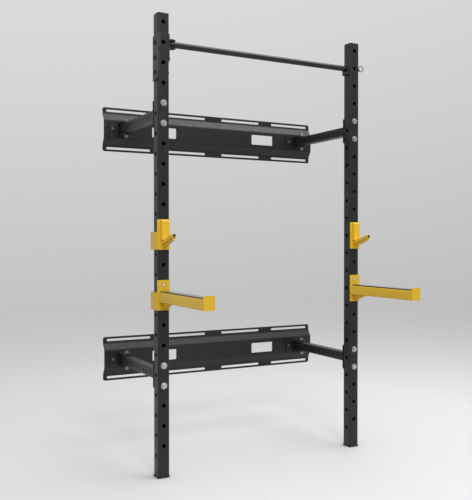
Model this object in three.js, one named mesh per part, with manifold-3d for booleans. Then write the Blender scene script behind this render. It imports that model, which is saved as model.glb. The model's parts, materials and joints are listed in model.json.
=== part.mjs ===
// Folding wall-mounted squat rack: two slotted wall stringers, two hinged gates
// (upright with two arms), a pull-up bar, two J-cups and two spotter arms.
// Millimetres, +Z up, +Y towards the wall. Heights below are above the floor;
// the part's origin lies on the wall face of the lower stringer's top flange.
import * as THREE from 'three';
import { mergeVertices } from 'three/addons/utils/BufferGeometryUtils.js';
import Module from 'manifold-3d';

const wasm = await Module();
wasm.setup();

// ---------- driving dimensions ----------
const GAP = 0.3; // between pieces that touch
const SPACING = 1170; // upright centre to upright centre
const DEPTH = 635; // wall to the front faces of the uprights
const HEIGHT = 2300; // top end of the upright tubes

const TUBE = 60; // upright section
const TUBE_WALL = 3;
const TUBE_CORNER = 6;
const HOLE_D = 21; // pin holes of the uprights
const HOLE_PITCH = 100;
const FIRST_FRONT_HOLE = 160;
const LAST_HOLE_FROM_TOP = 40;
const FIRST_SIDE_HOLE = 110;

const FOOT_EDGE = 3; // foot cap past the upright, all round
const FOOT_T = 8;
const CAP_T = 4;
const PLUG_T = 14; // part of a cap that sits inside the tube

const STRINGER_OVERHANG = 110; // past each upright's axis
const STRINGER_H = 248;
const STRINGER_OUT = 27; // stand-off of the web's front face from the wall
const SHEET = 3;
const FLANGE_H = 36;
const WEB_H = 102;
const FLANGE_CORNER = 12;
const SLOT_H = 13;
const SLOT_CORNER = 5;
const SLOT_SPACE = 91; // metal between two slots of a flange
const SLOT_MIDDLE_SPACE = 112; // the same at the stringer's middle
const SLOT_END_SPACE = 22;
const WINDOW_L = 150;
const WINDOW_H = 60;
const WINDOW_CORNER = 6;
const WINDOW_FROM_UPRIGHT = 255; // window's centre inside the upright's axis
const UPPER_HOLES_DOWN = 5; // upper arms: half a pitch above this front hole from the top one
const LOWER_HOLES_UP = 3; // lower arms: half a pitch above this one from the foot's

const ARM = 50; // arm section
const ARM_WALL = 3;
const ARM_CORNER = 4;
const ARM_HOLE_D = 12;
const ARM_HOLES = 8;
const ARM_HOLE_PITCH = 50;
const ARM_FIRST_HOLE = 60; // from the back of the upright
const ARM_TAIL = 22; // arm past its pivot
const ARM_PLATE_EDGE = 2; // arm's end plate past the upright, each side
const ARM_PLATE_ABOVE = 20; // the plate past its bolts
const ARM_PLATE_T = 6;
const PLATE_CORNER = 8;

const PIVOT_OUT = 60; // pivot in front of the web
const PIVOT_D = 16;
const PIVOT_GAP = 0.4; // radial, between pivot bolt and holes
const LUG_T = 10;
const LUG_R = 24;
const LUG_ROOT_W = 64;
const LUG_ARM_GAP = 1;
const BRACKET_W = 160;
const BRACKET_H = 98;
const BRACKET_T = 6;
const BRACKET_BOLT_X = 60;

const BAR_HOLES_DOWN = 1; // the bar is level with this front hole, counted from the top one
const BAR_D = 30;
const BAR_WALL = 2.5;
const BAR_EYE = 26; // solid end past the bar's pivot
const BAR_PIN_OUT = 28; // bar pivot from the upright's inner face
const BAR_PIN_D = 12;
const BAR_LUG_T = 5;
const BAR_LUG_GAP = 2;
const BAR_EYE_EDGE = 3; // clevis ears past the bar's radius
const BAR_PIN_HEAD_T = 4;
const BAR_PIN_HEAD_EDGE = 4;
const BAR_PIN_TAIL = 4;
const BAR_LEFT_END = 14; // bar past its pivot, towards the upright
const BAR_RIGHT_GAP = 2;
const BAR_PLATE_W = 50;
const BAR_PLATE_T = 5;
const CLEVIS_TOP = 45; // clevis plate above the bar's axis
const CLEVIS_FIN_T = 6;
const SADDLE_PLATE_H = 64;
const SADDLE_PLATE_DROP = 6; // its centre below the bar's axis
const SADDLE_BOLT_DROP = 26;
const PLATE_BOLT_PITCH = 72.5;
const SADDLE_L = 10;
const SADDLE_W = 50;
const SADDLE_DROP = 36; // saddle block below the bar's axis
const SADDLE_HORN = 6; // and above it
const SADDLE_GAP = 2;
const RING_PIN_D = 12;
const RING_PIN_REACH = 25; // of the ring pin inside the bar
const RING_R = 16;
const RING_WIRE = 3.2;
const RING_TILT = 0.75; // radians, of the ring above the pin's axis
const RING_COLLAR_D = 24;
const RING_COLLAR_T = 5;
const RING_STUB_D = 10;
const RING_EYE_PLAY = 2;
const RING_EYE_OUT = 26; // ring's eye from the collar's seat

const CUP_HOLES_UP = 11; // front holes that take the pins, from the foot's
const SPOTTER_HOLES_UP = 8;
const CLASP_H = 150; // front plate of a clasp round the upright
const CLASP_TOP = 25; // front plate above its pin
const CLASP_T = 5;
const CLASP_SIDE_H = 88;
const CLASP_BACK_GAP = 27;
const CLASP_LIP = 30;
const CLASP_PIN_D = 16;
const CLASP_PIN_L = 30;
const HOOK_W = 36;
const HOOK_PAD_T = 17;
const HOOK_REACH = 131; // tip in front of the upright
const HOOK_RISE = 28;
const HOOK_VALLEY = 76; // below the pin
const HOOK_FLOOR = 10; // level floor between pad and ramp
const RAMP_W = 24;
const RAMP_T = 16;
const TIP_D = 14;
const TIP_T = 4;
const GUSSET_T = 12;
const GUSSET_FOOT = 8; // ramp gusset above the clasp's bottom
const GUSSET_NOSE = 12; // and below the ramp at its tip
const SPOTTER_REACH = 515;
const SPOTTER_W = 52;
const SPOTTER_H = 50;
const SPOTTER_WALL = 3;
const SPOTTER_DROP = 60; // tube's centre line below the pin
const STOP_W = 56;
const STOP_H = 66;
const STOP_T = 6;
const LINER_T = 6;
const LINER_W = 46;
const GUSSET_L = 110;
const VENT_D = 10;

// Outer side plate of the left upright, measured from the bar's axis and the front face.
const OUTER_PLATE_BACK = 25; // behind the upright's axis
const OUTER_LUG_REACH = 41;
const OUTER_LOBE_REACH = 25;
const OUTER_WAIST = 6; // narrower than the lobe
const OUTER_TOP = 35;
const OUTER_LUG_BOTTOM = -37;
const OUTER_MID = -118;
const OUTER_BOTTOM = -188;

const PIVOT_WASHER_D = 28;
const PIVOT_WASHER_T = 3;
const PIVOT_FLATS = 22;
const PIVOT_HEAD_H = 10;
const PIVOT_NUT_H = 12;
const PIVOT_TAIL = 3; // bolt past its nut

// ---------- derived places ----------
const frontHole = (i) => FIRST_FRONT_HOLE + i * HOLE_PITCH;
const TOP_HOLE = Math.floor((HEIGHT - LAST_HOLE_FROM_TOP - FIRST_FRONT_HOLE) / HOLE_PITCH);
const UPPER_Z = frontHole(TOP_HOLE - UPPER_HOLES_DOWN) + HOLE_PITCH / 2;
const LOWER_Z = frontHole(LOWER_HOLES_UP) + HOLE_PITCH / 2;
const LEVELS = [['upper', UPPER_Z], ['lower', LOWER_Z]];
const BAR_Z = frontHole(TOP_HOLE - BAR_HOLES_DOWN);
const CUP_PIN_Z = frontHole(CUP_HOLES_UP);
const SPOTTER_PIN_Z = frontHole(SPOTTER_HOLES_UP);
const STRINGER_L = SPACING + 2 * STRINGER_OVERHANG;
const SLOT_L = (STRINGER_L - SLOT_MIDDLE_SPACE - 2 * (SLOT_SPACE + SLOT_END_SPACE)) / 4;
const SLOT_CENTRES = [SLOT_MIDDLE_SPACE / 2 + SLOT_L / 2, STRINGER_L / 2 - SLOT_END_SPACE - SLOT_L / 2];
const WINDOW_CENTRE = SPACING / 2 - WINDOW_FROM_UPRIGHT;
const FOOT_SIZE = TUBE + 2 * FOOT_EDGE;
const ARM_PLATE_W = TUBE + 2 * ARM_PLATE_EDGE;
const ARM_PLATE_H = HOLE_PITCH + 2 * ARM_PLATE_ABOVE;
const FRONT = -DEPTH;
const UPRIGHT_Y = FRONT + TUBE / 2;
const BACK = FRONT + TUBE;
const WEB_Y = -STRINGER_OUT;
const PIVOT_Y = WEB_Y - PIVOT_OUT;
const HALF = TUBE / 2;
const ORIGIN_Z = LOWER_Z + STRINGER_H / 2 - FLANGE_H / 2;
const ARM_BOLT_OFF = HOLE_PITCH / 2;

// ---------- materials ----------
const paint = (color, roughness, metalness) =>
  new THREE.MeshStandardMaterial({ color, roughness, metalness });
const BLACK = paint(0x26272a, 0.5, 0.3);
const YELLOW = paint(0xe0ad2e, 0.45, 0.1);
const ZINC = paint(0xb9bcc0, 0.35, 0.9);
const RED = paint(0x7a1c1c, 0.5, 0.2);
const RUBBER = paint(0x1b1b1c, 0.8, 0);
const PLASTIC = paint(0x202123, 0.6, 0);

// ---------- solids ----------
function solid(geometry) {
  const bare = geometry.clone();
  bare.deleteAttribute('normal');
  bare.deleteAttribute('uv');
  const merged = mergeVertices(bare, 1e-4);
  return new wasm.Manifold(new wasm.Mesh({
    numProp: 3,
    vertProperties: new Float32Array(merged.attributes.position.array),
    triVerts: new Uint32Array(merged.index.array),
  }));
}

function geometryOf(body) {
  const mesh = body.getMesh();
  const geometry = new THREE.BufferGeometry();
  geometry.setAttribute('position', new THREE.BufferAttribute(mesh.vertProperties, 3));
  geometry.setIndex(new THREE.BufferAttribute(mesh.triVerts, 1));
  geometry.computeVertexNormals();
  return geometry;
}

const join = (...geometries) => geometryOf(
  geometries.map(solid).reduce((whole, next) => whole.add(next)));
const cut = (geometry, ...tools) => geometryOf(
  tools.map(solid).reduce((whole, next) => whole.subtract(next), solid(geometry)));
const common = (a, b) => geometryOf(solid(a).intersect(solid(b)));

function box(x0, x1, y0, y1, z0, z1) {
  const geometry = new THREE.BoxGeometry(Math.abs(x1 - x0), Math.abs(y1 - y0), Math.abs(z1 - z0));
  return geometry.translate((x0 + x1) / 2, (y0 + y1) / 2, (z0 + z1) / 2);
}

// Round bar between two heights; a hole's flats touch its circle from outside.
function rod(diameter, z0, z1, sides = 16, forHole = false) {
  const r = diameter / 2 / (forHole ? Math.cos(Math.PI / sides) : 1);
  return new THREE.CylinderGeometry(r, r, z1 - z0, sides)
    .rotateX(Math.PI / 2).translate(0, 0, (z0 + z1) / 2);
}
const hole = (diameter, z0, z1, sides = 6) => rod(diameter, z0, z1, sides, true);
const hex = (acrossFlats, z0, z1) => rod(acrossFlats / Math.cos(Math.PI / 6), z0, z1, 6);

// Turns that send a solid's +Z to +X or to +Y.
const toX = (geometry) => geometry.rotateY(Math.PI / 2);
const toY = (geometry) => geometry.rotateX(-Math.PI / 2);

function roundedRect(w, h, r, segments = 2) {
  const shape = new THREE.Shape();
  const x = w / 2 - r;
  const y = h / 2 - r;
  const corners = [[x, y, 0], [-x, y, 1], [-x, -y, 2], [x, -y, 3]];
  for (const [cx, cy, quarter] of corners) {
    for (let i = 0; i <= segments; i += 1) {
      const a = (quarter + i / segments) * Math.PI / 2;
      const px = cx + r * Math.cos(a);
      const py = cy + r * Math.sin(a);
      if (quarter + i === 0) shape.moveTo(px, py);
      else shape.lineTo(px, py);
    }
  }
  shape.closePath();
  return shape;
}

function outline(points) {
  const shape = new THREE.Shape(points.map(([x, y]) => new THREE.Vector2(x, y)));
  shape.closePath();
  return shape;
}

const extrude = (shape, depth, curveSegments = 6) =>
  new THREE.ExtrudeGeometry(shape, { depth, bevelEnabled: false, curveSegments });

// Outline drawn in (y, z), run along X from x0 to x1.
function sweepX(shape, x0, x1, curveSegments = 6) {
  const basis = new THREE.Matrix4().makeBasis(
    new THREE.Vector3(0, 1, 0), new THREE.Vector3(0, 0, 1), new THREE.Vector3(1, 0, 0));
  return extrude(shape, x1 - x0, curveSegments).applyMatrix4(basis).translate(x0, 0, 0);
}

// Outline drawn in (x, z), run along Y from y1 back to y0.
function sweepY(shape, y0, y1, curveSegments = 6) {
  const basis = new THREE.Matrix4().makeBasis(
    new THREE.Vector3(1, 0, 0), new THREE.Vector3(0, 0, 1), new THREE.Vector3(0, -1, 0));
  return extrude(shape, y1 - y0, curveSegments).applyMatrix4(basis).translate(0, y1, 0);
}

function squareTube(size, wall, corner, length) {
  const shape = roundedRect(size, size, corner);
  shape.holes.push(roundedRect(size - 2 * wall, size - 2 * wall, corner - wall, 1));
  return extrude(shape, length);
}

// Bent sheet: a line of points with a thickness to its left, mitred at the bends.
function sheetOutline(points, thickness) {
  const far = points.map((point, i) => {
    const before = points[Math.max(i - 1, 0)];
    const after = points[Math.min(i + 1, points.length - 1)];
    const normal = (a, b) => new THREE.Vector2(a[1] - b[1], b[0] - a[0]).normalize();
    const first = i > 0 ? normal(before, point) : normal(point, after);
    const second = i < points.length - 1 ? normal(point, after) : first;
    const mitre = first.clone().add(second).normalize();
    const reach = thickness / mitre.dot(first);
    return [point[0] + mitre.x * reach, point[1] + mitre.y * reach];
  });
  return outline([...points, ...far.reverse()]);
}

// ---------- fasteners, along +Z from their seat at z = 0 ----------
// The head stands above z = 0 and the shank runs down through `grip`;
// a nut stands past the grip when one is asked for.
function bolt({ shank, grip, washer, washerT, flats, headH, nut = true }) {
  const pieces = [
    rod(washer, 0, washerT, 16),
    hex(flats, washerT - 0.5, washerT + headH),
    rod(shank, -grip - (nut ? headH : 0), washerT, 8),
  ];
  if (nut) pieces.push(hex(flats, -grip - GAP - headH, -grip - GAP));
  return join(...pieces);
}

const BRACKET_BOLT = {
  shank: 8, grip: BRACKET_T + SHEET + 3 * GAP, washer: 17, washerT: 1.6, flats: 13, headH: 6,
};
const ARM_BOLT = {
  shank: 13.4, grip: TUBE + ARM_PLATE_T + 3 * GAP, washer: 33, washerT: 3, flats: 21, headH: 9,
};
const CROSS_BOLT = {
  shank: 12, grip: TUBE + 2 * BAR_PLATE_T + 4 * GAP, washer: 24, washerT: 2.5, flats: 18, headH: 8,
};
const BRACKET_BOLT_HOLE = BRACKET_BOLT.shank + 2 * PIVOT_GAP;
const ARM_BOLT_HOLE = ARM_BOLT.shank + 2 * PIVOT_GAP;
const CROSS_BOLT_HOLE = CROSS_BOLT.shank + 2 * PIVOT_GAP;
const PIVOT_HOLE = PIVOT_D + 2 * PIVOT_GAP;

// ---------- scene ----------
const rack = new THREE.Group();
rack.position.set(0, 0, -ORIGIN_Z);

function add(parent, name, geometry, material, x = 0, y = 0, z = 0) {
  const mesh = new THREE.Mesh(geometry, material);
  mesh.name = name;
  mesh.position.set(x, y, z);
  parent.add(mesh);
  return mesh;
}

// ---------- wall stringers ----------
function stringer() {
  const flangeZ = STRINGER_H / 2 - FLANGE_H;
  const profile = [
    [-SHEET, -STRINGER_H / 2], [-SHEET, -flangeZ], [WEB_Y, -WEB_H / 2],
    [WEB_Y, WEB_H / 2], [-SHEET, flangeZ], [-SHEET, STRINGER_H / 2],
  ].reverse();
  const half = STRINGER_L / 2;
  const bent = sweepX(sheetOutline(profile, SHEET), -half, half);
  const blank = sweepY(roundedRect(STRINGER_L, STRINGER_H, FLANGE_CORNER, 3), WEB_Y - 1, 1);
  const tools = [];
  for (const side of [-1, 1]) {
    for (const x of SLOT_CENTRES) {
      for (const z of [-1, 1]) {
        const slot = sweepY(roundedRect(SLOT_L, SLOT_H, SLOT_CORNER), -SHEET - 1, 1);
        tools.push(slot.translate(side * x, 0, z * (STRINGER_H - FLANGE_H) / 2));
      }
    }
    const window = roundedRect(WINDOW_L, WINDOW_H, WINDOW_CORNER);
    const windowCut = sweepY(window, WEB_Y - 1, WEB_Y + SHEET + 1);
    tools.push(windowCut.translate(side * WINDOW_CENTRE, 0, 0));
    for (const off of [-1, 1]) {
      const drilled = toY(hole(BRACKET_BOLT_HOLE, WEB_Y - 1, WEB_Y + SHEET + 1));
      tools.push(drilled.translate(side * SPACING / 2 + off * BRACKET_BOLT_X, 0, 0));
    }
  }
  return cut(common(bent, blank), ...tools);
}

// ---------- hinge brackets, about their pivot ----------
const LUG_IN = ARM / 2 + LUG_ARM_GAP;
const LUG_OUT = LUG_IN + LUG_T;
const BRACKET_BACK = PIVOT_OUT - GAP; // back face of the bracket from the pivot
const BRACKET_FRONT = BRACKET_BACK - BRACKET_T;

function lug(z0) {
  const shape = new THREE.Shape();
  shape.moveTo(LUG_ROOT_W / 2, BRACKET_BACK - 1);
  shape.lineTo(-LUG_ROOT_W / 2, BRACKET_BACK - 1);
  shape.lineTo(-LUG_R, 0);
  shape.absarc(0, 0, LUG_R, Math.PI, 2 * Math.PI, false);
  shape.closePath();
  return extrude(shape, LUG_T).translate(0, 0, z0);
}

function hingeBracket() {
  const face = roundedRect(BRACKET_W, BRACKET_H, PLATE_CORNER);
  const plate = sweepY(face, BRACKET_FRONT, BRACKET_BACK);
  const body = join(plate, lug(LUG_IN), lug(-LUG_OUT));
  const tools = [hole(PIVOT_HOLE, -LUG_OUT - 1, LUG_OUT + 1, 12)];
  for (const off of [-1, 1]) {
    const drilled = toY(hole(BRACKET_BOLT_HOLE, BRACKET_FRONT - 1, BRACKET_BACK + 1));
    tools.push(drilled.translate(off * BRACKET_BOLT_X, 0, 0));
  }
  return cut(body, ...tools);
}

function pivotBolt() {
  const seat = LUG_OUT + GAP;
  return join(
    rod(PIVOT_WASHER_D, seat, seat + PIVOT_WASHER_T, 16),
    hex(PIVOT_FLATS, seat + PIVOT_WASHER_T - 0.5, seat + PIVOT_WASHER_T + PIVOT_HEAD_H),
    rod(PIVOT_D, -seat - PIVOT_WASHER_T - PIVOT_NUT_H - PIVOT_TAIL, seat + 1, 12));
}

function pivotNut() {
  const seat = -LUG_OUT - GAP;
  const washer = rod(PIVOT_WASHER_D, seat - PIVOT_WASHER_T, seat, 16);
  const bottom = seat - PIVOT_WASHER_T - PIVOT_NUT_H;
  const nut = hex(PIVOT_FLATS, bottom, seat - PIVOT_WASHER_T + 0.5);
  return cut(join(washer, nut), hole(PIVOT_HOLE, bottom - 1, seat + 1, 12));
}

function addWallFrame() {
  for (const [level, z] of LEVELS) {
    add(rack, `${level}_stringer`, stringer(), BLACK, 0, 0, z);
    for (const [side, sign] of [['left', -1], ['right', 1]]) {
      const hinge = new THREE.Group();
      hinge.position.set(sign * SPACING / 2, PIVOT_Y, z);
      rack.add(hinge);
      const name = `${side}_${level}`;
      add(hinge, `${name}_hinge_bracket`, hingeBracket(), BLACK);
      add(hinge, `${name}_pivot_bolt`, pivotBolt(), ZINC);
      add(hinge, `${name}_pivot_nut`, pivotNut(), ZINC);
      for (const [end, off] of [['outer', sign], ['inner', -sign]]) {
        const piece = bolt(BRACKET_BOLT).rotateX(Math.PI / 2);
        add(hinge, `${name}_bracket_bolt_${end}`, piece, ZINC,
          off * BRACKET_BOLT_X, BRACKET_FRONT - GAP, 0);
      }
    }
  }
}

// ---------- uprights, about their own axis ----------
const FOOT_TOP = FOOT_T + GAP;
const PLATE_BOLT_ZS = [BAR_Z, BAR_Z - PLATE_BOLT_PITCH, BAR_Z - 2 * PLATE_BOLT_PITCH];
const SADDLE_BOLT_Z = BAR_Z - SADDLE_BOLT_DROP;

function upright(crossZs) {
  const tube = squareTube(TUBE, TUBE_WALL, TUBE_CORNER, HEIGHT - FOOT_TOP)
    .translate(0, 0, FOOT_TOP);
  const tools = [];
  for (let i = 0; i <= TOP_HOLE; i += 1) {
    tools.push(toY(hole(HOLE_D, -TUBE, TUBE)).translate(0, 0, frontHole(i)));
  }
  for (let z = FIRST_SIDE_HOLE; z <= UPPER_Z; z += HOLE_PITCH) {
    tools.push(toX(hole(HOLE_D, -TUBE, TUBE)).translate(0, 0, z));
  }
  for (const z of crossZs) {
    tools.push(toX(hole(CROSS_BOLT_HOLE, -TUBE, TUBE, 12)).translate(0, 0, z));
  }
  return cut(tube, ...tools);
}

function plug(z0, z1) {
  const size = TUBE - 2 * (TUBE_WALL + GAP);
  return extrude(roundedRect(size, size, TUBE_CORNER - TUBE_WALL, 1), z1 - z0)
    .translate(0, 0, z0);
}

function topCap() {
  const lid = extrude(roundedRect(TUBE, TUBE, TUBE_CORNER), CAP_T).translate(0, 0, HEIGHT + GAP);
  return join(lid, plug(HEIGHT - PLUG_T, HEIGHT + GAP + 1));
}

function footCap() {
  const base = extrude(roundedRect(FOOT_SIZE, FOOT_SIZE, TUBE_CORNER), FOOT_T);
  return join(base, plug(FOOT_T - 1, FOOT_T + PLUG_T));
}

// ---------- arms: flange plate behind the upright, tube back to the pivot ----------
const PLATE_FRONT = BACK + GAP;
const PLATE_BACK = PLATE_FRONT + ARM_PLATE_T;
const ARM_END = PIVOT_Y + ARM_TAIL;

function arm() {
  const plate = sweepY(roundedRect(ARM_PLATE_W, ARM_PLATE_H, PLATE_CORNER), PLATE_FRONT, PLATE_BACK);
  const tube = squareTube(ARM, ARM_WALL, ARM_CORNER, ARM_END - PLATE_BACK + 1)
    .rotateX(-Math.PI / 2).translate(0, PLATE_BACK - 1, 0);
  const tools = [hole(PIVOT_HOLE, -ARM, ARM, 12).translate(0, PIVOT_Y, 0)];
  for (const off of [-1, 1]) {
    const drilled = toY(hole(ARM_BOLT_HOLE, PLATE_FRONT - 1, PLATE_BACK + 1));
    tools.push(drilled.translate(0, 0, off * ARM_BOLT_OFF));
  }
  for (let i = 0; i < ARM_HOLES; i += 1) {
    const y = BACK + ARM_FIRST_HOLE + i * ARM_HOLE_PITCH;
    tools.push(toX(hole(ARM_HOLE_D, -ARM, ARM)).translate(0, y, 0));
  }
  return cut(join(plate, tube), ...tools);
}

function addGate(side, sign, crossZs) {
  const gate = new THREE.Group();
  gate.position.set(sign * SPACING / 2, 0, 0);
  rack.add(gate);
  add(gate, `${side}_upright`, upright(crossZs), BLACK, 0, UPRIGHT_Y, 0);
  add(gate, `${side}_top_cap`, topCap(), PLASTIC, 0, UPRIGHT_Y, 0);
  add(gate, `${side}_foot_cap`, footCap(), PLASTIC, 0, UPRIGHT_Y, 0);
  for (const [level, z] of LEVELS) {
    add(gate, `${side}_${level}_arm`, arm(), BLACK, 0, 0, z);
    for (const [end, off] of [['top', ARM_BOLT_OFF], ['bottom', -ARM_BOLT_OFF]]) {
      add(gate, `${side}_${level}_arm_bolt_${end}`, bolt(ARM_BOLT).rotateX(Math.PI / 2), ZINC,
        0, FRONT - GAP, z + off);
    }
  }
  return gate;
}

// ---------- pull-up bar and its two brackets ----------
const BAR_LUG_IN = BAR_D / 2 + BAR_LUG_GAP;
const BAR_LUG_OUT = BAR_LUG_IN + BAR_LUG_T;
const FACE = HALF + GAP; // seat of a plate on the upright's side
const PLATE_IN = FACE + BAR_PLATE_T;
const BAR_PIN_X = HALF + BAR_PIN_OUT;
const BAR_PIN_HOLE = BAR_PIN_D + 2 * PIVOT_GAP;
const BAR_EYE_R = BAR_D / 2 + BAR_EYE_EDGE;
const RING_EYE_X = FACE + RING_EYE_OUT;

// Left bracket, on the inner face: x runs from the upright's axis towards the bar.
function barClevis() {
  const low = BAR_PLATE_W / 2;
  const plateShape = new THREE.Shape();
  plateShape.moveTo(low, CLEVIS_TOP);
  plateShape.lineTo(-low, CLEVIS_TOP);
  plateShape.lineTo(-low, -PLATE_BOLT_PITCH);
  plateShape.absarc(0, -PLATE_BOLT_PITCH, low, Math.PI, 2 * Math.PI, false);
  plateShape.closePath();
  const ear = new THREE.Shape();
  ear.moveTo(FACE + 1, BAR_EYE_R);
  ear.lineTo(FACE + 1, -BAR_EYE_R);
  ear.lineTo(BAR_PIN_X, -BAR_EYE_R);
  ear.absarc(BAR_PIN_X, 0, BAR_EYE_R, -Math.PI / 2, Math.PI / 2, false);
  ear.closePath();
  const finEnd = BAR_PIN_X - BAR_PIN_D; // stops short of the pin's head
  const finTop = CLEVIS_TOP - 1;
  const fin = sweepY(outline([
    [FACE + 1, BAR_LUG_OUT - 1], [finEnd, BAR_LUG_OUT - 1],
    [finEnd, BAR_LUG_OUT + 1], [PLATE_IN, finTop], [FACE + 1, finTop],
  ]), -CLEVIS_FIN_T / 2, CLEVIS_FIN_T / 2);
  const body = join(
    sweepX(plateShape, FACE, PLATE_IN),
    extrude(ear, BAR_LUG_T).translate(0, 0, BAR_LUG_IN),
    extrude(ear, BAR_LUG_T).translate(0, 0, -BAR_LUG_OUT),
    fin);
  const drilled = [0, -PLATE_BOLT_PITCH].map((z) =>
    toX(hole(CROSS_BOLT_HOLE, FACE - 1, PLATE_IN + 1, 12)).translate(0, 0, z));
  const pinHole = hole(BAR_PIN_HOLE, -BAR_LUG_OUT - 1, BAR_LUG_OUT + 1, 12);
  return cut(body, ...drilled, pinHole.translate(BAR_PIN_X, 0, 0));
}

function barPin() {
  const seat = BAR_LUG_OUT + GAP;
  return join(
    rod(BAR_PIN_D, -BAR_LUG_OUT - BAR_PIN_TAIL, seat + 1, 12),
    rod(BAR_PIN_D + 2 * BAR_PIN_HEAD_EDGE, seat, seat + BAR_PIN_HEAD_T, 12));
}

const BAR_LENGTH = SPACING - BAR_PIN_X - PLATE_IN - BAR_RIGHT_GAP;

// Bar from its pivot at the left to the open end in the saddle.
function pullUpBar() {
  const rim = rod(BAR_D, -BAR_LEFT_END, BAR_LENGTH, 24);
  const bore = rod(BAR_D - 2 * BAR_WALL, BAR_EYE, BAR_LENGTH + 1, 20);
  const eye = hole(BAR_PIN_HOLE, -BAR_D, BAR_D, 12);
  return cut(toX(cut(rim, bore)), eye);
}

// Right bracket: an open-topped saddle on the inner face, x towards the bar.
function barSaddle() {
  const channelR = BAR_D / 2 + SADDLE_GAP;
  const end = PLATE_IN + SADDLE_L;
  const plate = sweepX(roundedRect(BAR_PLATE_W, SADDLE_PLATE_H, PLATE_CORNER), FACE, PLATE_IN)
    .translate(0, 0, -SADDLE_PLATE_DROP);
  const block = box(PLATE_IN - 1, end, -SADDLE_W / 2, SADDLE_W / 2, -SADDLE_DROP, SADDLE_HORN);
  const trough = toX(rod(2 * channelR, PLATE_IN, end + 1, 20, true));
  const mouth = box(PLATE_IN, end + 1, -channelR, channelR, 0, SADDLE_HORN + 1);
  const pinHole = toX(hole(RING_PIN_D + 2 * PIVOT_GAP, FACE - 1, PLATE_IN + 1, 12));
  const boltHole = toX(hole(CROSS_BOLT_HOLE, FACE - 1, PLATE_IN + 1, 12))
    .translate(0, 0, -SADDLE_BOLT_DROP);
  return cut(join(plate, block), trough, mouth, pinHole, boltHole);
}

// Outer side plate of the left upright, with a lug in front of the front face.
function outerPlate() {
  const lug = -HALF - OUTER_LUG_REACH;
  const lobe = -HALF - OUTER_LOBE_REACH;
  const waist = lobe + OUTER_WAIST;
  const shape = new THREE.Shape();
  shape.moveTo(OUTER_PLATE_BACK, OUTER_BOTTOM);
  shape.lineTo(OUTER_PLATE_BACK, OUTER_TOP);
  shape.lineTo(lug + PLATE_CORNER, OUTER_TOP);
  shape.lineTo(lug, OUTER_TOP - PLATE_CORNER);
  shape.lineTo(lug, OUTER_LUG_BOTTOM);
  shape.lineTo(waist, OUTER_LUG_BOTTOM - 6);
  shape.quadraticCurveTo(lobe - 5, (OUTER_LUG_BOTTOM + OUTER_MID) / 2, waist, OUTER_MID);
  shape.bezierCurveTo(lobe - 4, OUTER_MID - 28, lobe, OUTER_BOTTOM + 4, -10, OUTER_BOTTOM);
  shape.closePath();
  const drilled = PLATE_BOLT_ZS.map((z) =>
    toX(hole(CROSS_BOLT_HOLE, -1, BAR_PLATE_T + 1, 12)).translate(0, 0, z - BAR_Z));
  return cut(sweepX(shape, 0, BAR_PLATE_T), ...drilled);
}

function addLeftBarBracket(gate) {
  add(gate, 'left_bar_clevis', barClevis(), BLACK, 0, UPRIGHT_Y, BAR_Z);
  add(gate, 'bar_pivot_pin', barPin(), RED, BAR_PIN_X, UPRIGHT_Y, BAR_Z);
  add(gate, 'left_outer_plate', outerPlate(), BLACK, -FACE - BAR_PLATE_T, UPRIGHT_Y, BAR_Z);
  const names = ['top', 'middle', 'bottom'];
  PLATE_BOLT_ZS.forEach((z, i) => {
    const flush = i === 0; // the bar's eye turns in front of this one
    const throughPlates = i < 2 ? 2 : 1;
    const grip = TUBE + throughPlates * BAR_PLATE_T + (throughPlates + 1) * GAP;
    const piece = bolt({ ...CROSS_BOLT, grip: flush ? grip - GAP : grip, nut: !flush });
    add(gate, `outer_plate_bolt_${names[i]}`, piece.rotateY(-Math.PI / 2), i < 2 ? BLACK : RED,
      -FACE - BAR_PLATE_T - GAP, UPRIGHT_Y, z);
  });
}

function ringPin() {
  const tip = -(PLATE_IN + BAR_RIGHT_GAP + RING_PIN_REACH);
  const shank = rod(RING_PIN_D, tip, FACE + 1, 12);
  const collar = rod(RING_COLLAR_D, FACE, FACE + RING_COLLAR_T, 20);
  const stub = rod(RING_STUB_D, FACE + RING_COLLAR_T - 1, RING_EYE_X + RING_STUB_D / 2, 12);
  const eye = hole(RING_WIRE + RING_EYE_PLAY, -RING_STUB_D, RING_STUB_D)
    .rotateY(-RING_TILT).translate(RING_EYE_X, 0, 0);
  return cut(toX(join(shank, collar, stub)), eye);
}

function pullRing() {
  return new THREE.TorusGeometry(RING_R, RING_WIRE / 2, 6, 16)
    .rotateX(Math.PI / 2).translate(RING_R, 0, 0).rotateY(-RING_TILT);
}

function addRightBarBracket(gate) {
  add(gate, 'right_bar_saddle', barSaddle().rotateZ(Math.PI), BLACK, 0, UPRIGHT_Y, BAR_Z);
  const grip = TUBE + BAR_PLATE_T + 2 * GAP;
  const blind = bolt({ ...CROSS_BOLT, grip, nut: false }); // ends inside the saddle block
  add(gate, 'saddle_bolt', blind.rotateY(Math.PI / 2), BLACK, HALF + GAP, UPRIGHT_Y, SADDLE_BOLT_Z);
  add(gate, 'ring_pin', ringPin(), BLACK, 0, UPRIGHT_Y, BAR_Z);
  add(gate, 'pull_ring', pullRing(), BLACK, RING_EYE_X, UPRIGHT_Y, BAR_Z);
}

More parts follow.
